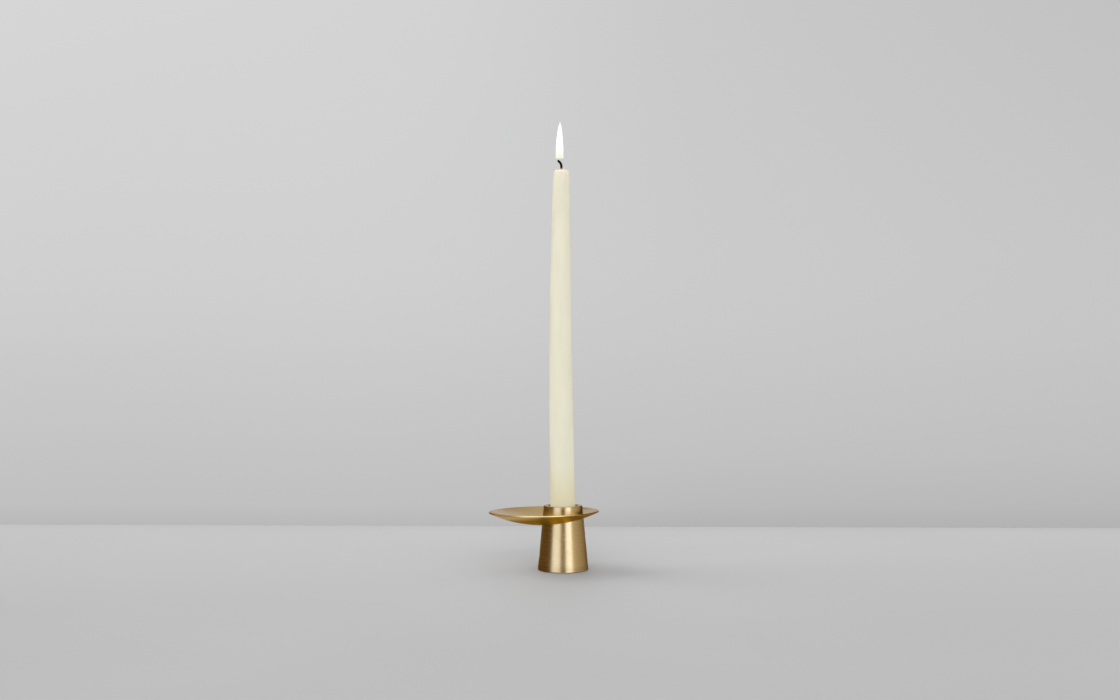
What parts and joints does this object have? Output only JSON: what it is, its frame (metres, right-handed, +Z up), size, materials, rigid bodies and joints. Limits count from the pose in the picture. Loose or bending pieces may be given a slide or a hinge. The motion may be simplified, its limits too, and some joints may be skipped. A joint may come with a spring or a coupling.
{
  "type": "taper candle holder",
  "caption": "Turned brass cone with a candle socket and an off-centre round drip dish threaded over it, holding a tall taper candle.",
  "frame": {"origin": "middle of the felt pad's lower face, on the cone's axis", "axes": "+Z up the cone and the candle, -X towards the overhanging side of the dish, -Y to the front"},
  "size_m": [0.0998, 0.0998, 0.372],
  "materials": {
    "cone_brass": "satin, fine turning lines around the axis",
    "felt": "pressed wool felt",
    "ring_nylon": "thin natural nylon",
    "dish_brass": "satin, spun with fine circular lines",
    "wax": "ivory wax with a soft sheen",
    "wick_cotton": "braided cotton, charred at the free end"
  },
  "bodies": {
    "holder": {"cone_body": "cone_brass", "base_pad": "felt"},
    "ring": {"seat_ring": "ring_nylon"},
    "dish": {"drip_dish": "dish_brass"},
    "candle": {"candle": "wax", "wick": "wick_cotton"}
  },
  "joints": [
    {"name": "dish_turn", "type": "hinge", "parent": "holder", "child": "ring", "pos_m": [0, 0, 0.045], "axis": [0, 0, 1], "continuous": true},
    {"name": "dish_lift", "type": "slide", "parent": "ring", "child": "dish", "axis": [0, 0, 1], "range_m": [0, 0.35]},
    {"name": "candle_lift", "type": "slide", "parent": "holder", "child": "candle", "axis": [0, 0, 1], "range_m": [0, 0.05]}
  ]
}
